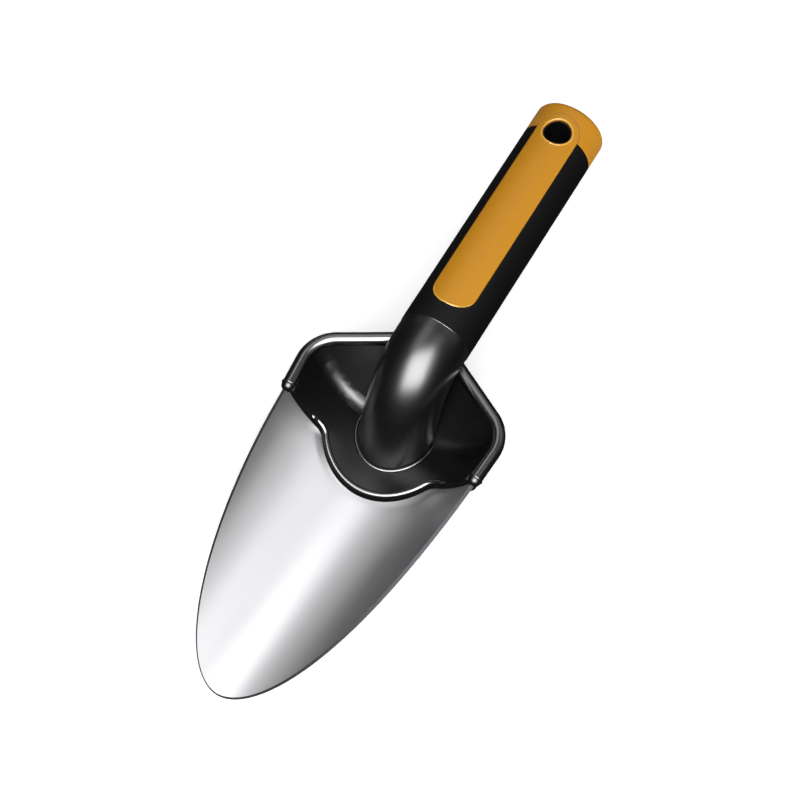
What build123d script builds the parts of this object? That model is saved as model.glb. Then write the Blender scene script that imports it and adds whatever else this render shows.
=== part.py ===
"""Hand trowel: stainless blade, moulded shoulder, elbow neck and a sleeved handle with a hanging hole.

Working frame while building: X across the blade, +Y towards the handle's end, +Z out of the blade's
hollow. Z = 0 is the inside of the blade's floor and Y = 0 is where the blade's outline would reach its
full width. The finished pieces are moved so that the trowel rests on Z = 0, centred on X and Y.
"""
from math import asin, cos, degrees, radians, sin, sqrt
import os

from build123d import *

os.makedirs("parts", exist_ok=True)

# ---- Driving dimensions, in millimetres and degrees -----------------------------------------

# Blade: sheet rolled to a part cylinder, with a pointed-oval outline.
blade_length = 170.0       # tip to Y = 0
blade_width = 88.0         # full width across the edges
roll_radius = 48.0         # inside radius of the rolled section
sheet = 1.5
point_power = 2.4          # how long the outline stays wide before it closes on the tip
side_power = 1.9           # how blunt the tip is
blade_tail = 31.0          # the hidden rear end lies this far in front of Y = 0
tail_side = 39.0           # its corners are cut back to here at the blade's edges
tail_half = 30.0

# Shoulder: collar with a rear wall, a rolled rim, a bib over the blade and a skin behind it.
bib_thickness = 2.4
skin_thickness = 2.6
wall = 2.6
rim_radius = 2.8           # round bead along the top of the wall
rim_pitch = 12.0           # the rim rises towards the handle
rim_height = 25.7          # height of the bead's centre at the bib's front edge
rim_inset = 1.0            # the bead's front ends sit this far inside the blade's full width
rim_outset = 0.6           # and its corners this far outside it
rim_front = 48.0           # the bead's centre line ends here, in front of Y = 0
rim_corner = 25.8          # its sides turn inwards here
rim_peak = 1.5             # and its two slopes would meet here, behind the neck
corner_radius = 15.0
peak_radius = 36.0         # rounding of the rear wall, behind the neck
bib_front = 49.3           # straight front edge of the bib, in front of Y = 0
skin_front = 48.3          # straight front edge of the skin behind the blade
tongue_radius = 29.5       # round tongue in the middle of the bib
tongue_blend = 5.0
floor_corner = 33.7        # the wall's two turning places, on the same centre line, at the floor
floor_peak = 32.2
floor_blend = 7.0          # hollow fillet between the floor and the rear wall
heel_blend = 5.0           # rounding under the rear wall
lip_width = 2.4            # raised lip round the tongue
lip_height = 0.9
ring_width = 1.2           # small ring where the neck stands on the bib

# Neck and handle.
neck_radius = 15.4
neck_lean = 75.0           # steepness of the leg that stands on the blade
neck_bend = 22.0
cuff_height = 21.0         # shoulder's cuff round the back of that leg
foot_centre = 34.3         # in front of Y = 0
handle_height = 41.6       # height of the handle's axis at Y = 0
handle_pitch = 8.3
grip_radius = 15.6         # the sleeve stands just proud of the neck
spine_radius = 12.6        # core inside the sleeve
grip_start = -5.9          # along the handle's axis from Y = 0
grip_end = 98.6            # where the sleeve meets the end cap
handle_end = 113.2
cap_wall = 3.2
cap_round = 2.6
strip_width = 18.6
strip_start = 3.0
strip_corner = 8.4
hole_centre = 98.2
hang_hole = 11.0           # bore through the core's boss
lip_hole = 12.4            # hole through the strip
boss_wall = 1.6
boss_depth = 1.3           # the boss stops this far under the strip's face
seam_chamfer = 0.35

# Screws from the back of the shoulder, through the blade, into the neck's foot.
screw_spread = 15.0        # between the two screws, across the blade
screw_line = 40.0          # in front of Y = 0
screw_diameter = 4.0
screw_clearance = 0.25     # all round, in the blade's holes
screw_length = 13.0
head_diameter = 7.4
head_height = 1.8
head_clearance = 0.2
hex_socket = 2.5           # across flats

# ---- Values worked out from them ------------------------------------------------------------

half_width = blade_width / 2
edge_height = roll_radius - sqrt(roll_radius**2 - half_width**2)
outer_radius = roll_radius + sheet
skin_radius = outer_radius + skin_thickness
bib_radius = roll_radius - bib_thickness
corner_side = half_width + rim_outset
side_taper = (rim_outset + rim_inset) / (rim_front - rim_corner)

rim_plane = Plane(
    origin=(0, -bib_front, rim_height), x_dir=(1, 0, 0),
    z_dir=(0, -sin(radians(rim_pitch)), cos(radians(rim_pitch))),
)
floor_plane = Plane.XY.offset(-skin_thickness - sheet - 3)

handle_plane = Plane(
    origin=(0, 0, handle_height), x_dir=(-1, 0, 0),
    z_dir=(0, cos(radians(handle_pitch)), sin(radians(handle_pitch))),
)

rear_reach = (
    (handle_end - cap_round) * cos(radians(handle_pitch))
    + (grip_radius - cap_round) * sin(radians(handle_pitch)) + cap_round
)
to_rest = Pos(0, (blade_length - rear_reach) / 2, sheet + skin_thickness)


def roll_axis_cylinder(radius, long=400):
    """Solid cylinder round the blade's rolling axis."""
    bar = Cylinder(radius, long, rotation=(90, 0, 0), mode=Mode.PRIVATE)
    return Pos(0, 0, roll_radius) * bar


def outline_point(share):
    """Point on the blade's right edge; share runs from 0 at the tip to 1 at full width."""
    across = half_width * (1 - (1 - share) ** point_power) ** (1 / side_power)
    return (across, -blade_length * (1 - share))


def side_at(along):
    """Half-width of the wall's centre line at a distance in front of Y = 0."""
    return corner_side - side_taper * (along - rim_corner)


def scoop_face(plane, corner, peak, grow):
    """House-shaped face on a plane: two sides and two slopes, grown outwards from the centre line."""
    rise = 1 / cos(radians(plane.z_dir.get_angle(Vector(0, 0, 1))))
    front = blade_length / 2

    def on_plane(across, along):
        return (across, (-along - plane.origin.Y) * rise)

    with BuildSketch(plane) as house:
        with BuildLine():
            sides = FilletPolyline(
                on_plane(-side_at(front) - grow, front), on_plane(-side_at(corner) - grow, corner - grow),
                on_plane(0, peak - grow), on_plane(side_at(corner) + grow, corner - grow),
                on_plane(side_at(front) + grow, front),
                radius=(corner_radius + grow, peak_radius + grow, corner_radius + grow))
            Line(sides @ 1, sides @ 0)
        make_face()
    return house.sketch


def tongue_tool(straight_front):
    """Tall block whose front is straight with a round tongue in the middle, seen from above."""
    with BuildPart() as tool:
        with BuildSketch(Plane.XY.offset(-20)) as plan:
            with Locations((0, -straight_front)):
                Rectangle(3 * half_width, 80, align=(Align.CENTER, Align.MIN))
            with Locations((0, -foot_centre)):
                Circle(tongue_radius)
            inner = plan.vertices().filter_by(
                lambda v: abs(v.Y + straight_front) < 0.01 and abs(v.X) < tongue_radius)
            fillet(inner, tongue_blend)
        extrude(amount=20 + roll_radius)
    return tool.part


# ---- Blade ----------------------------------------------------------------------------------

edge_steps = [(i / 24) ** 2 for i in range(25)]


def edge_curve(radius):
    """The blade's outline, carried along the rolled section's radii onto a cylinder of this radius."""
    right = []
    for share in edge_steps:
        across, along = outline_point(share)
        swing = asin(across / roll_radius)
        right.append((radius * sin(swing), along, roll_radius - radius * cos(swing)))
    left = [(-x, y, z) for x, y, z in reversed(right[1:])]
    return Spline(left + right, mode=Mode.PRIVATE)


roll_core = roll_axis_cylinder(roll_radius)
sheet_core = roll_axis_cylinder(outer_radius)
# The cut that trims the sheet square to its own surface all round.
edge_cut = Face.make_surface_from_curves(
    edge_curve(roll_radius - 2 * sheet), edge_curve(outer_radius + 2 * sheet))

with BuildPart() as rolled_sheet:
    add(sheet_core)
    add(roll_core, mode=Mode.SUBTRACT)
    with BuildSketch(Plane.XY.offset(-outer_radius)):
        with BuildLine():
            Polyline(
                (-blade_width, -blade_length - 9), (-blade_width, -tail_side),
                (-half_width, -tail_side), (-tail_half, -blade_tail),
                (tail_half, -blade_tail), (half_width, -tail_side),
                (blade_width, -tail_side), (blade_width, -blade_length - 9), close=True)
        make_face()
    extrude(amount=outer_radius + 0.9 * roll_radius, mode=Mode.INTERSECT)

blade_blank = rolled_sheet.part.split(edge_cut, keep=Keep.ALL).solids().sort_by(Axis.Z)[0]

screw_angle = degrees(asin(screw_spread / 2 / outer_radius))
screw_planes = []
for lean in (-screw_angle, screw_angle):
    up = Vector(0, 0, 1).rotate(Axis.Y, -lean)
    seat = Vector(0, -screw_line, roll_radius) - up * outer_radius
    screw_planes.append(Plane(origin=seat, x_dir=(0, 1, 0), z_dir=up))

with BuildPart() as blade:
    add(blade_blank)
    for seat in screw_planes:
        with BuildSketch(seat.offset(-2)):
            Circle(screw_diameter / 2 + screw_clearance)
        extrude(amount=sheet + 4, mode=Mode.SUBTRACT)


# ---- Neck and core --------------------------------------------------------------------------

leg_run = cos(radians(neck_lean))
leg_rise = sin(radians(neck_lean))
pitch_run = cos(radians(handle_pitch))
pitch_rise = sin(radians(handle_pitch))
# The leg's line through the foot meets the handle's axis at the elbow's corner.
to_corner = (handle_height - foot_centre * pitch_rise / pitch_run) / (
    leg_rise - leg_run * pitch_rise / pitch_run)
corner = (-foot_centre + to_corner * leg_run, to_corner * leg_rise)
leg_start = (corner[0] - 1.3 * to_corner * leg_run, corner[1] - 1.3 * to_corner * leg_rise)
neck_end = (grip_start * pitch_run, handle_height + grip_start * pitch_rise)


def elbow(radius):
    """Round bar along the neck's bent centre line, from below the blade to the sleeve."""
    with BuildPart() as bar:
        with BuildLine(Plane.YZ):
            centre = FilletPolyline(leg_start, corner, neck_end, radius=neck_bend)
        with BuildSketch(Plane(origin=centre @ 0, z_dir=centre % 0)):
            Circle(radius)
        sweep()
    return bar.part


neck_bar = elbow(neck_radius) & roll_core
foot_ring = elbow(neck_radius + ring_width)
with BuildPart() as leg_cuff:
    leg_plane = Plane(origin=(0, *leg_start), x_dir=(1, 0, 0), z_dir=(0, leg_run, leg_rise))
    with BuildSketch(leg_plane):
        Circle(neck_radius + wall)
    extrude(amount=0.3 * to_corner + cuff_height)
    fillet(leg_cuff.edges().group_by(Axis.Z)[-1], wall * 0.8)

boss_radius = hang_hole / 2 + boss_wall
strip_half = strip_width / 2
hole_plane = Plane(
    origin=handle_plane.from_local_coords((0, 0, hole_centre)), x_dir=(1, 0, 0),
    z_dir=handle_plane.y_dir,
)
spine_end = handle_end - cap_wall


def handle_bar(radius, start, end):
    """Round bar on the handle's axis between two distances along it."""
    with BuildPart() as bar:
        with BuildSketch(handle_plane.offset(start)):
            Circle(radius)
        extrude(amount=end - start)
    return bar.part


def hole_bar(radius, low, high):
    """Round bar on the hanging hole's axis; low and high are measured from the handle's axis."""
    with BuildPart() as bar:
        with BuildSketch(hole_plane.offset(low)):
            Circle(radius)
        extrude(amount=high - low)
    return bar.part


spine = handle_bar(spine_radius, grip_start, spine_end)
# The boss reaches the handle's underside but stops short of the strip's face.
boss = (
    hole_bar(boss_radius, 0, grip_radius) & handle_bar(grip_radius - boss_depth, 0, handle_end)
) + (hole_bar(boss_radius, -grip_radius, 0) & handle_bar(grip_radius, 0, handle_end))
hang_bore = hole_bar(hang_hole / 2, -2 * grip_radius, 2 * grip_radius)

with BuildPart() as foot_screws:
    for seat in screw_planes:
        with BuildSketch(seat.offset(-head_height)):
            Circle(head_diameter / 2)
        extrude(amount=head_height)
        with BuildSketch(seat):
            Circle(screw_diameter / 2)
        extrude(amount=screw_length)
        with BuildSketch(seat.offset(-head_height)):
            RegularPolygon(hex_socket / 2, 6, major_radius=False)
        extrude(amount=head_height * 0.6, mode=Mode.SUBTRACT)

with BuildPart() as head_pockets:
    for seat in screw_planes:
        with BuildSketch(seat.offset(-head_height - skin_thickness)):
            Circle(head_diameter / 2 + head_clearance)
        extrude(amount=head_height + skin_thickness + sheet / 2)

with BuildPart() as neck_core:
    add(neck_bar)
    add(spine)
    add(boss)
    add(hang_bore, mode=Mode.SUBTRACT)
    add(foot_screws.part, mode=Mode.SUBTRACT)

# ---- Shoulder -------------------------------------------------------------------------------

void_floor = scoop_face(floor_plane, floor_corner, floor_peak, -wall / 2)
void_rim = scoop_face(rim_plane, rim_corner, rim_peak, -wall / 2)
body_floor = scoop_face(floor_plane, floor_corner, floor_peak, wall / 2)
body_rim = scoop_face(rim_plane, rim_corner, rim_peak, wall / 2)
bib_core = roll_axis_cylinder(bib_radius)
lip_core = roll_axis_cylinder(bib_radius - lip_height)
skin_core = roll_axis_cylinder(skin_radius)
bib_plan = tongue_tool(bib_front)
skin_plan = tongue_tool(skin_front)

with BuildPart() as scoop:
    add(void_floor)
    add(void_rim)
    loft(ruled=True)
    add(bib_core, mode=Mode.INTERSECT)
    floor = scoop.faces().filter_by(GeomType.CYLINDER).sort_by(SortBy.AREA)[-1]
    back = floor.edges().filter_by(
        lambda e: e.center().Y > -floor_corner - 4 and abs(e.center().X) < 0.9 * half_width)
    fillet(back, floor_blend)

with BuildPart() as body:
    add(body_floor)
    add(body_rim)
    loft(ruled=True)
    add(skin_core, mode=Mode.INTERSECT)
    under = body.faces().filter_by(GeomType.CYLINDER).sort_by(SortBy.AREA)[-1]
    heel = under.edges().filter_by(
        lambda e: e.center().Y > -floor_corner - 4 and abs(e.center().X) < 0.9 * half_width)
    fillet(heel, heel_blend)
    # Behind the wall, a cuff follows the neck's leg down to the skin.
    add(leg_cuff.part & skin_core)

rim_rise = 1 / cos(radians(rim_pitch))


def on_rim(across, along):
    """Point on the rim's plane, from places across and in front of Y = 0."""
    return (across, (bib_front - along) * rim_rise)


# Each half of the bead runs on into the neck and stops inside it.
inside_neck = 0.6 * neck_radius
slope = (rim_corner - rim_peak) / corner_side
with BuildPart() as rim_bead:
    with BuildLine(rim_plane):
        run = FilletPolyline(
            on_rim(side_at(rim_front), rim_front), on_rim(corner_side, rim_corner),
            on_rim(inside_neck, rim_peak + slope * inside_neck), radius=corner_radius)
    with BuildSketch(Plane(origin=run @ 0, z_dir=run % 0)):
        Circle(rim_radius)
    sweep()
    with Locations(run @ 0):
        Sphere(rim_radius)
    mirror(about=Plane.YZ)

lip_band = offset(bib_plan.faces().sort_by(Axis.Z)[0], -lip_width)
with BuildPart() as lip:
    add(bib_plan)
    with BuildSketch(Plane.XY.offset(-20)):
        add(lip_band)
    extrude(amount=120, mode=Mode.SUBTRACT)
    with BuildSketch(Plane.XY.offset(-20)):
        with Locations((0, -bib_front + 1)):
            Rectangle(2 * tongue_radius, tongue_radius, align=(Align.CENTER, Align.MAX))
    extrude(amount=120, mode=Mode.INTERSECT)
    add(bib_core, mode=Mode.INTERSECT)
    add(lip_core, mode=Mode.SUBTRACT)

with BuildPart() as shoulder:
    add(body.part)
    add(scoop.part, mode=Mode.SUBTRACT)
    add((roll_core & bib_plan) + (skin_plan - roll_core), mode=Mode.INTERSECT)
    add(rim_bead.part)
    add(foot_ring & (bib_core - lip_core) & scoop.part)
    add(lip.part)
    add([neck_bar, handle_bar(grip_radius, grip_start, grip_end), blade_blank], mode=Mode.SUBTRACT)
    add(head_pockets.part, mode=Mode.SUBTRACT)

# ---- Handle's outer pieces ------------------------------------------------------------------

with BuildPart() as strip_block:
    # Seen from above: square-cut sides, rounded lower corners, and an upper end round the hole.
    with BuildSketch(hole_plane) as strip_plan:
        down = strip_start - hole_centre
        Circle(strip_half)
        with Locations((0, down / 2)):
            Rectangle(strip_width, abs(down))
        fillet(strip_plan.vertices().group_by(Axis.Y)[0], strip_corner)
    extrude(amount=2 * grip_radius)

with BuildPart() as handle_strip:
    add(strip_block)
    add(handle_bar(grip_radius, 0, handle_end), mode=Mode.INTERSECT)
    add(spine, mode=Mode.SUBTRACT)
    add(boss, mode=Mode.SUBTRACT)
    add(hole_bar(lip_hole / 2, 0, 2 * grip_radius), mode=Mode.SUBTRACT)

with BuildPart() as grip_sleeve:
    with BuildSketch(handle_plane.offset(grip_start)):
        Circle(grip_radius)
    extrude(amount=grip_end - grip_start)
    front_edge = grip_sleeve.edges().filter_by(GeomType.CIRCLE).sort_by(Axis.Y)[0]
    chamfer(front_edge, seam_chamfer)
    add([spine, boss, strip_block.part, hang_bore], mode=Mode.SUBTRACT)

with BuildPart() as end_cap:
    with BuildSketch(handle_plane.offset(grip_end)):
        Circle(grip_radius)
    extrude(amount=handle_end - grip_end)
    rear_edge = end_cap.edges().filter_by(GeomType.CIRCLE).sort_by(Axis.Y)[-1]
    fillet(rear_edge, cap_round)
    add([spine, boss, strip_block.part, hang_bore], mode=Mode.SUBTRACT)

# ---- Export ---------------------------------------------------------------------------------

pieces = {
    "blade": blade,
    "shoulder": shoulder,
    "neck_core": neck_core,
    "grip_sleeve": grip_sleeve,
    "handle_strip": handle_strip,
    "end_cap": end_cap,
    "foot_screws": foot_screws,
}
for name, piece in pieces.items():
    placed = to_rest * piece.part
    placed.label = name
    export_step(placed, f"parts/{name}.step")
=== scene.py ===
"""Looks of the hand trowel: satin stainless blade, gloss black shoulder and neck, soft grip, orange inlay.

Metres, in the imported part's frame: +X across the blade, +Y towards the handle's end, +Z up.
"""
from math import asin, cos, pi, radians, sin, sqrt, tan

import bmesh
import bpy
from mathutils import Matrix, Vector


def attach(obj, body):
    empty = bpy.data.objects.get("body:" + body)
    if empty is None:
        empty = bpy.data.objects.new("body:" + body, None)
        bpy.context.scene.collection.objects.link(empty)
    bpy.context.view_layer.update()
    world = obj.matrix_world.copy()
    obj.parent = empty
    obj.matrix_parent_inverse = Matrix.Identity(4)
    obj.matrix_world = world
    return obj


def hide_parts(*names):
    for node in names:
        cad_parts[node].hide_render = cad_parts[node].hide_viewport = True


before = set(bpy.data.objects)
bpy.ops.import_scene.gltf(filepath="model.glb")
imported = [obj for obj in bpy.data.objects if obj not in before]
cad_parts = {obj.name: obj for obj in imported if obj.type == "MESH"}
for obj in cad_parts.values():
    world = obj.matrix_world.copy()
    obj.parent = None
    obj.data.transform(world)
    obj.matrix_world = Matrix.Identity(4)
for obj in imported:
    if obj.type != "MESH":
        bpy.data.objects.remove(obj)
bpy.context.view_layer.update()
scene = bpy.context.scene
MM = 0.001

# The part's own sizes, in millimetres. Its drawing has Y = 0 where the blade would be widest and Z = 0
# on the blade's inner floor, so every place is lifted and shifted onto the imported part.
SHIFT = Vector((0, 28.04, 4.1))

# Blade. Its hidden end stops inside the shoulder's slot, in front of the screws.
BLADE_LENGTH, HALF_WIDTH, ROLL_RADIUS, SHEET = 170.0, 44.0, 48.0, 1.5
POINT_POWER, SIDE_POWER, BLADE_TAIL = 2.4, 1.9, 43.0
TIP_SHARE = 2e-5           # the tip is a hair wide instead of a single point
CREASE = radians(50)       # sharper edges are shaded as edges

# Shoulder: bib over the blade, round tongue in its middle, lip along them and ring round the neck's foot.
BIB_RADIUS, BIB_FRONT, FOOT_CENTRE = 45.6, 49.3, 34.3
TONGUE_RADIUS, TONGUE_BLEND = 29.5, 5.0
LIP_RADIUS, LIP_INSET, LIP_LIFT, LIP_SINK = 1.3, 1.3, 0.45, 1.9
LIP_FADE_INSIDE, LIP_FADE_OUTSIDE = 4, 3       # the lip sinks over this stretch about the tongue's corner
RING_RADIUS, RING_LIFT = 0.6, 0.75

# Bead along the shoulder's rim: front end, corner, and the place where the two slopes would meet.
RIM_END_ACROSS, RIM_CORNER_ACROSS = 42.97, 44.57
RIM_FRONT, RIM_CORNER, RIM_PEAK = 48.0, 25.8, 1.5
RIM_HEIGHT, RIM_RADIUS, RIM_PITCH, RIM_ROUNDING = 25.7, 2.82, radians(12), 15.0
RIM_IN_NECK = 9.3          # each bead ends inside the neck, this far from the middle
COLLAR_RADIUS, COLLAR_STEP, COLLAR_TURN_IN = 0.45, 0.6, 0.07

# Neck and handle.
NECK_RADIUS, NECK_LEAN = 15.4, radians(75)
HANDLE_HEIGHT, HANDLE_PITCH, GRIP_RADIUS = 41.6, radians(8.3), 15.6
GRIP_START, SLEEVE_LINE_RADIUS, SLEEVE_LINE = -5.9, 15.42, 0.2
HOLE_CENTRE, HOLE_RADIUS, STRIP_HALF = 98.2, 6.2, 9.3
STRIP_START, END_ROUND = 3.0, 8.4
SMALL_LIP, SMALL_LIP_INSET = 0.5, 0.35         # lips round the hole and the strip's lower end
SEAM_LINE, SEAM_SUNK = 0.14, 0.08
END_SUNK, END_LIP_THIN, END_LIP_SWELL = 0.25, 0.15, 0.35


def place(x, y, z):
    """A place on the drawing, in millimetres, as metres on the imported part."""
    return (Vector((x, y, z)) + SHIFT) * MM


def on_handle(across, along, height):
    """A place on the drawing from the handle's own axis: across it, along it and above it."""
    return (across, along * cos(HANDLE_PITCH) - height * sin(HANDLE_PITCH),
            HANDLE_HEIGHT + along * sin(HANDLE_PITCH) + height * cos(HANDLE_PITCH))


def on_grip(across, along, sunk):
    """A place on the drawing that lies this far under the grip's upper surface."""
    return on_handle(across, along, sqrt(GRIP_RADIUS ** 2 - across ** 2) - sunk)


def on_rim(across, along):
    """A place on the drawing that lies in the plane of the rim's bead, this far in front of Y = 0."""
    return Vector((across, -along, RIM_HEIGHT + (BIB_FRONT - along) * tan(RIM_PITCH)))


def around(steps):
    """Angles of a whole turn in equal steps."""
    return [2 * pi * step / steps for step in range(steps)]


# ---- Materials ------------------------------------------------------------------------------

def linear(hex_colour):
    """sRGB hex to linear RGBA."""
    channels = [int(hex_colour[i:i + 2], 16) / 255 for i in (1, 3, 5)]
    return [c / 12.92 if c <= 0.04045 else ((c + 0.055) / 1.055) ** 2.4 for c in channels] + [1.0]


def new_material(name):
    """Empty node material."""
    material = bpy.data.materials.new(name)
    material.use_nodes = True
    material.node_tree.nodes.clear()
    return material


def add_node(tree, kind, values=(), **links):
    """Adds a node, sets its socket values, and links sockets given as Socket_name=output."""
    node = tree.nodes.new(kind)
    for key, value in dict(values).items():
        node.inputs[key].default_value = value
    for key, output in links.items():
        tree.links.new(output, node.inputs[key.replace("_", " ")])
    return node


def moulded_plastic(name, colour, roughness, grain_mm, grain_depth, ior=1.5, shine=0.5):
    """Injection-moulded plastic: even colour, with the faint orange-peel that the mould leaves."""
    material = new_material(name)
    tree = material.node_tree
    where = add_node(tree, "ShaderNodeTexCoord")
    grain = add_node(tree, "ShaderNodeTexNoise", values={"Scale": 1 / (grain_mm * MM), "Detail": 3},
                     Vector=where.outputs["Object"])
    bump = add_node(tree, "ShaderNodeBump", values={"Strength": grain_depth, "Distance": 0.05 * MM},
                    Height=grain.outputs["Fac"])
    shader = add_node(tree, "ShaderNodeBsdfPrincipled",
                      values={"Base Color": linear(colour), "Roughness": roughness, "IOR": ior,
                              "Specular IOR Level": shine},
                      Normal=bump.outputs["Normal"])
    add_node(tree, "ShaderNodeOutputMaterial", Surface=shader.outputs["BSDF"])
    return material


def rolled_stainless(name, colour, roughness):
    """Stainless sheet, satin-polished lengthwise: the fine grain spreads each reflection across the roll."""
    material = new_material(name)
    tree = material.node_tree
    where = add_node(tree, "ShaderNodeTexCoord")
    # Real polishing lines are about 0.1 mm apart. They are drawn 0.5 mm apart and 30 mm long, to show.
    lengthwise = add_node(tree, "ShaderNodeMapping",
                          values={"Scale": (1 / (0.5 * MM), 1 / (30 * MM), 1 / (0.5 * MM))},
                          Vector=where.outputs["Object"])
    lines = add_node(tree, "ShaderNodeTexNoise", values={"Scale": 1.0, "Detail": 2},
                     Vector=lengthwise.outputs["Vector"])
    gloss = add_node(tree, "ShaderNodeMapRange",
                     values={"To Min": roughness - 0.03, "To Max": roughness + 0.03},
                     Value=lines.outputs["Fac"])
    shader = add_node(tree, "ShaderNodeBsdfPrincipled",
                      values={"Base Color": linear(colour), "Metallic": 1.0},
                      Roughness=gloss.outputs["Result"])
    add_node(tree, "ShaderNodeOutputMaterial", Surface=shader.outputs["BSDF"])
    return material


# Glass-filled nylon from a polished mould: near black, with clear soft-edged highlights.
neck_black = moulded_plastic("neck_polished_nylon", "#020203", 0.31, 1.2, 0.03, ior=1.53)
shoulder_black = moulded_plastic("shoulder_polished_nylon", "#020203", 0.3, 1.2, 0.03, ior=1.53)
# The raised lines are the mould's most polished edges, so they draw the brightest lines.
line_black = moulded_plastic("line_polished_nylon", "#020203", 0.24, 1.2, 0.02, ior=1.53, shine=1.0)
# Elastomer overmould from a fine-textured mould: darker to the eye, with no clear highlight.
grip_black = moulded_plastic("grip_soft_elastomer", "#020203", 0.65, 0.35, 0.15, ior=1.45, shine=0.1)
# Coloured polypropylene, satin: a broad pale sheen along the strip's crown.
orange = moulded_plastic("orange_polypropylene", "#cd8b10", 0.45, 0.6, 0.06, shine=0.2)
# Its lips come from a polished part of the mould. Their colour is paler and yellower than the strip's, a
# painted highlight that draws a thin pale line of light.
lip_orange_painted_highlight = moulded_plastic("orange_lip_painted_highlight", "#e8b040", 0.25, 0.6, 0.02)
# The gap at the strip's end lies in its own shadow. The thin dark brown line drawn over it is painted shade.
seam_painted_shade = moulded_plastic("painted_shade_seam_plastic", "#5a3408", 0.7, 0.5, 0.05)
# Satin inside and outside. The sheared edge is rougher, and its colour is darkened as painted shade, so the
# sheet's thickness reads as a thin dark line.
blade_steel = rolled_stainless("blade_satin_stainless", "#d6d6d8", 0.36)
edge_steel_painted_shade = rolled_stainless("blade_edge_painted_shade", "#4c4c50", 0.5)

finishes = {
    "blade": blade_steel, "foot_screws": blade_steel, "shoulder": shoulder_black, "neck_core": neck_black,
    "grip_sleeve": grip_black, "handle_strip": orange, "end_cap": orange,
}
for node, finish in finishes.items():
    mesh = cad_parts[node].data
    mesh.materials.clear()
    mesh.materials.append(finish)


# ---- Shapes that the eye needs finer than the solids --------------------------------------------

def new_piece(name, shape, *finish):
    """Turns a bmesh into a piece of the trowel's looks that belongs to its one rigid body."""
    mesh = bpy.data.meshes.new(name)
    shape.to_mesh(mesh)
    shape.free()
    for material in finish:
        mesh.materials.append(material)
    piece = bpy.data.objects.new(name, mesh)
    scene.collection.objects.link(piece)
    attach(piece, "root")
    return piece


def raised_line(name, line, radius, finish, closed=False, sides=12):
    """Round raised line along places on the drawing, one radius for each or the same for all."""
    shape = bmesh.new()
    radii = radius if isinstance(radius, list) else [radius] * len(line)
    points = [Vector(p) for p in line]
    rings = []
    count = len(points)
    side = None
    for i, point in enumerate(points):
        before = points[(i - 1) % count] if closed or i else point
        after = points[(i + 1) % count] if closed or i < count - 1 else point
        ahead = (after - before).normalized()
        if side is None:
            side = ahead.orthogonal()
        side = (side - ahead * side.dot(ahead)).normalized()
        other = ahead.cross(side)
        rings.append([shape.verts.new(place(*(point + (side * cos(2 * pi * k / sides)
                                                       + other * sin(2 * pi * k / sides)) * radii[i])))
                      for k in range(sides)])
    for i in range(count if closed else count - 1):
        here, there = rings[i], rings[(i + 1) % count]
        # A closed line can come round turned, so the ring that starts nearest is joined first.
        turn = min(range(sides), key=lambda k: (there[k].co - here[0].co).length) if i == count - 1 else 0
        for k in range(sides):
            shape.faces.new((here[k], here[(k + 1) % sides], there[(k + 1 + turn) % sides],
                             there[(k + turn) % sides])).smooth = True
    if not closed:
        for end in (shape.faces.new(rings[0][::-1]), shape.faces.new(rings[-1])):
            for edge in end.edges:
                edge.smooth = False
    bmesh.ops.recalc_face_normals(shape, faces=shape.faces)
    return new_piece(name, shape, finish)


def rolled_blade():
    """The blade's sheet: rulings across a part cylinder, inside and outside, closed along the cut edge."""
    shape = bmesh.new()
    rows, columns = 72, 48
    skins = {}
    for radius in (ROLL_RADIUS, ROLL_RADIUS + SHEET):
        grid = []
        for i in range(rows + 1):
            run = (i / rows) ** 2 * (1 - BLADE_TAIL / BLADE_LENGTH)
            share = max(run, TIP_SHARE)
            across = HALF_WIDTH * (1 - (1 - share) ** POINT_POWER) ** (1 / SIDE_POWER)
            swing = asin(across / ROLL_RADIUS)
            grid.append([shape.verts.new(place(
                radius * sin(swing * (2 * j / columns - 1)), -BLADE_LENGTH * (1 - run),
                ROLL_RADIUS - radius * cos(swing * (2 * j / columns - 1)))) for j in range(columns + 1)])
        skins[radius] = grid
    inner, outer = skins[ROLL_RADIUS], skins[ROLL_RADIUS + SHEET]
    # The sheet's cut edges take its second finish, steel darkened as painted shade.
    for i in range(rows):
        for j in range(columns):
            shape.faces.new((inner[i][j], inner[i][j + 1], inner[i + 1][j + 1], inner[i + 1][j]))
            shape.faces.new((outer[i][j], outer[i + 1][j], outer[i + 1][j + 1], outer[i][j + 1]))
        for j in (0, columns):
            edge = shape.faces.new((inner[i][j], inner[i + 1][j], outer[i + 1][j], outer[i][j]))
            edge.material_index = 1
    for j in range(columns):
        for i in (0, rows):
            edge = shape.faces.new((inner[i][j], inner[i][j + 1], outer[i][j + 1], outer[i][j]))
            edge.material_index = 1
    bmesh.ops.recalc_face_normals(shape, faces=shape.faces)
    for face in shape.faces:
        face.smooth = True
    for edge in shape.edges:
        if len(edge.link_faces) == 2 and edge.calc_face_angle(0) > CREASE:
            edge.smooth = False
    return new_piece("blade_sheet", shape, blade_steel, edge_steel_painted_shade)


blade_sheet = rolled_blade()
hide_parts("blade")
# The steel is not mirrored in the black mouldings or in its own hollow, as under a polarised lamp.
blade_sheet.visible_glossy = False

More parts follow.
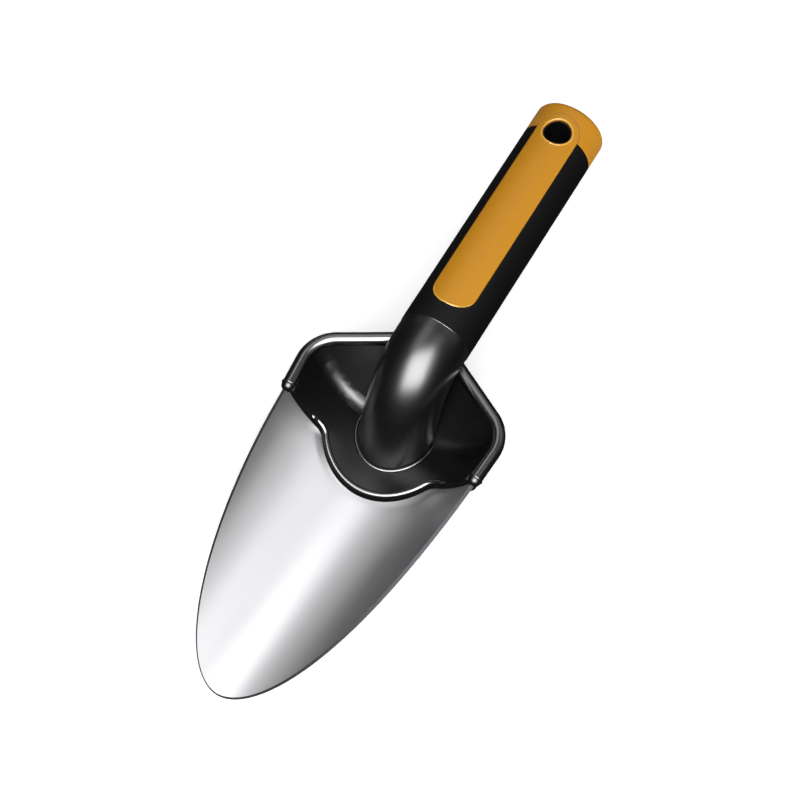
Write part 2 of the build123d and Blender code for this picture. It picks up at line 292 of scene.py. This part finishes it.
# The rounded lip follows the bib's tongue and its two hollow corners, then sinks into the straight edge.
corner_reach = BIB_FRONT + TONGUE_BLEND - FOOT_CENTRE
corner_across = sqrt((TONGUE_RADIUS + TONGUE_BLEND) ** 2 - corner_reach ** 2)
corner_turn = asin(corner_reach / (TONGUE_RADIUS + TONGUE_BLEND))
tongue, hollow = TONGUE_RADIUS - LIP_INSET, TONGUE_BLEND + LIP_INSET
half_lip = [(tongue * sin(turn), -FOOT_CENTRE - tongue * cos(turn))
            for turn in [(pi / 2 - corner_turn) * step / 40 for step in range(40)]]
half_lip += [(corner_across - hollow * cos(turn), -BIB_FRONT - TONGUE_BLEND + hollow * sin(turn))
             for turn in [corner_turn + (pi / 2 - corner_turn) * step / 12 for step in range(13)]]
half_lip += [(corner_across + 0.7 * step, -BIB_FRONT + LIP_INSET) for step in range(1, 9)]
lip_line = []
for x, y in [(-x, y) for x, y in half_lip[:0:-1]] + half_lip:
    past_corner = abs(x) - corner_across + LIP_FADE_INSIDE
    fade = min(1.0, max(0.0, past_corner / (LIP_FADE_INSIDE + LIP_FADE_OUTSIDE))) ** 2
    height = BIB_RADIUS - (LIP_LIFT - LIP_SINK * fade)
    swing = asin(x / BIB_RADIUS)
    lip_line.append((height * sin(swing), y, ROLL_RADIUS - height * cos(swing)))
raised_line("tongue_lip", lip_line, LIP_RADIUS, line_black, sides=16)

# The thin ring where the neck's leg stands on the bib. The leg leans back, so the ring is longer lengthwise.
ring_line = []
for turn in around(96):
    x = (NECK_RADIUS + RING_LIFT) * cos(turn)
    height = ROLL_RADIUS - sqrt(BIB_RADIUS ** 2 - x ** 2) + RING_LIFT
    lengthwise = ((NECK_RADIUS + RING_LIFT) * sin(turn) + height * cos(NECK_LEAN)) / sin(NECK_LEAN)
    ring_line.append((x, lengthwise - FOOT_CENTRE, height))
raised_line("foot_ring", ring_line, RING_RADIUS, line_black, closed=True)


def rounded(start, corner, end, radius, steps=14, straight=8):
    """Places from start to end, with the corner between them rounded off."""
    before, after = (start - corner).normalized(), (end - corner).normalized()
    half_angle = before.angle(after) / 2
    middle = corner + (before + after).normalized() * (radius / sin(half_angle))
    first = (corner + before * (radius / tan(half_angle)) - middle).normalized()
    last = (corner + after * (radius / tan(half_angle)) - middle).normalized()
    bend = [middle + first.slerp(last, step / steps) * radius for step in range(steps + 1)]
    return ([start.lerp(bend[0], step / straight) for step in range(straight)] + bend
            + [bend[-1].lerp(end, step / straight) for step in range(1, straight + 1)])


# The bead along each side of the rim, from its front end round the corner and into the neck.
slope = (RIM_CORNER - RIM_PEAK) / RIM_CORNER_ACROSS
hands = ((-1, "left"), (1, "right"))
for hand, side_name in hands:
    bead_line = rounded(on_rim(hand * RIM_END_ACROSS, RIM_FRONT),
                        on_rim(hand * RIM_CORNER_ACROSS, RIM_CORNER),
                        on_rim(hand * RIM_IN_NECK, RIM_PEAK + slope * RIM_IN_NECK), RIM_ROUNDING)
    raised_line("rim_bead_" + side_name, bead_line, RIM_RADIUS, line_black, sides=32)

# The hairline where the grip's sleeve starts.
sleeve_line = [on_handle(SLEEVE_LINE_RADIUS * cos(turn), GRIP_START, SLEEVE_LINE_RADIUS * sin(turn))
               for turn in around(96)]
raised_line("sleeve_seam", sleeve_line, SLEEVE_LINE, line_black, closed=True, sides=8)

# A collar round each front end of the rim's bead.
for hand, side_name in hands:
    ahead = Vector((hand * COLLAR_TURN_IN, cos(RIM_PITCH), sin(RIM_PITCH))).normalized()
    side = ahead.orthogonal().normalized()
    other = ahead.cross(side)
    middle = on_rim(hand * RIM_END_ACROSS, RIM_FRONT) + ahead * COLLAR_STEP
    collar = [middle + (side * cos(turn) + other * sin(turn)) * RIM_RADIUS for turn in around(40)]
    raised_line("rim_collar_" + side_name, collar, COLLAR_RADIUS, line_black, closed=True)

# The polished lip round the hanging hole, coloured paler as a painted highlight.
lip_reach = HOLE_RADIUS + SMALL_LIP_INSET
hole_line = [on_grip(lip_reach * cos(turn), HOLE_CENTRE + lip_reach * sin(turn), SMALL_LIP_INSET)
             for turn in around(64)]
raised_line("hole_lip", hole_line, SMALL_LIP, lip_orange_painted_highlight, closed=True)

# The seam where the strip's round upper end is let into the cap, drawn as a raised thin line of painted
# shade.
seam_line = [on_grip(STRIP_HALF * cos(turn), HOLE_CENTRE + STRIP_HALF * sin(turn), SEAM_SUNK)
             for turn in [pi * step / 48 for step in range(49)]]
raised_line("strip_seam", seam_line, SEAM_LINE, seam_painted_shade, sides=8)

# The strip's lower end has a rounded lip that catches the light, and its paler colour is a painted
# highlight. It thins out towards both sides.
END_STEPS = 40
end_reach = END_ROUND - SMALL_LIP_INSET
end_line, end_radii = [], []
for step in range(END_STEPS + 1):
    turn = pi + pi * step / END_STEPS
    # The end is a little wider than a half circle, so its two quarters stand apart.
    apart = (STRIP_HALF - END_ROUND) * ((2 * step > END_STEPS) - (2 * step < END_STEPS))
    end_line.append(on_grip(end_reach * cos(turn) + apart, STRIP_START + END_ROUND + end_reach * sin(turn),
                            END_SUNK))
    end_radii.append(END_LIP_THIN + END_LIP_SWELL * sin(pi * step / END_STEPS))
raised_line("strip_end_lip", end_line, end_radii, lip_orange_painted_highlight)

# ---- Camera, light and floor ----------------------------------------------------------------

def looking(azimuth, elevation, roll, distance, aim):
    """Place of a camera or lamp that looks at aim from that direction."""
    back = Vector((cos(azimuth) * cos(elevation), sin(azimuth) * cos(elevation), sin(elevation)))
    turn = back.to_track_quat("Z", "Y").to_matrix().to_4x4() @ Matrix.Rotation(roll, 4, "Z")
    return Matrix.Translation(Vector(aim) + back * distance) @ turn


# A long lens from well above the blade's tip, a little to its right.
camera_data = bpy.data.cameras.new("camera")
camera_data.sensor_width, camera_data.lens = 36, 106.77
camera = bpy.data.objects.new("camera", camera_data)
camera.matrix_world = looking(radians(-66.53), radians(54.72), radians(7.30), 0.965,
                              (-2.5 * MM, 1.2 * MM, 25 * MM))
scene.collection.objects.link(camera)
scene.camera = camera
# The plain display curve keeps the white board white and the orange full.
scene.view_settings.view_transform = "Standard"

world = bpy.data.worlds.new("studio")
world.use_nodes = True
sky = world.node_tree.nodes["Background"]
sky.inputs["Color"].default_value = linear("#ffffff")
sky.inputs["Strength"].default_value = 0.05
scene.world = world


def softbox(name, azimuth, elevation, width, height, glow, distance=1.2):
    """Flat lamp that looks at the trowel: degrees, metres, and its face's brightness next to white board."""
    lamp = bpy.data.lights.new(name, "AREA")
    lamp.shape = "RECTANGLE"
    lamp.size, lamp.size_y, lamp.energy = width, height, glow * pi * width * height
    holder = bpy.data.objects.new(name, lamp)
    holder.matrix_world = looking(radians(azimuth), radians(elevation), 0, distance, (0, 0, 30 * MM))
    scene.collection.objects.link(holder)
    return holder


# The front box lights the handle. The rear box is the broad pale band along the blade's hollow.
softbox("front_box", -66, 45, 1.0, 1.1, 5)
softbox("rear_box", 84, 57, 1.7, 0.45, 1.15)
# Cards that show only in the gloss. Two make the neck's highlight, a soft sheen with a bright heart, one
# draws the lines along the rim and lips, and two let the blade's band fade out slowly towards its edges.
for card in (
    softbox("glint_wide", -66, 48, 2.0, 1.2, 2.4),
    softbox("glint_core", -68, 52, 1.3, 1.1, 14),
    softbox("glint_left", 168, 72, 0.8, 0.5, 2.5),
    softbox("fade_left", 38, 26, 0.6, 0.6, 0.7),
    softbox("fade_right", 142, 32, 0.5, 0.6, 0.5),
):
    card.visible_diffuse = False

half = 8.0                 # half the board's side, in metres
floor_mesh = bpy.data.meshes.new("floor")
floor_mesh.from_pydata([(-half, -half, 0), (half, -half, 0), (half, half, 0), (-half, half, 0)], [],
                       [(0, 1, 2, 3)])
floor = bpy.data.objects.new("floor", floor_mesh)
scene.collection.objects.link(floor)
# Matt white board that glows a little, as one lit from below, so the shadow on it is only just there.
board = new_material("matt_white_board")
board_shader = add_node(board.node_tree, "ShaderNodeBsdfPrincipled",
                        values={"Base Color": linear("#f4f4f4"), "Roughness": 0.9,
                                "Emission Color": linear("#ffffff"), "Emission Strength": 0.55})
add_node(board.node_tree, "ShaderNodeOutputMaterial", Surface=board_shader.outputs["BSDF"])
floor_mesh.materials.append(board)
# It is not mirrored in the gloss, as with black card laid round the trowel.
floor.visible_glossy = False
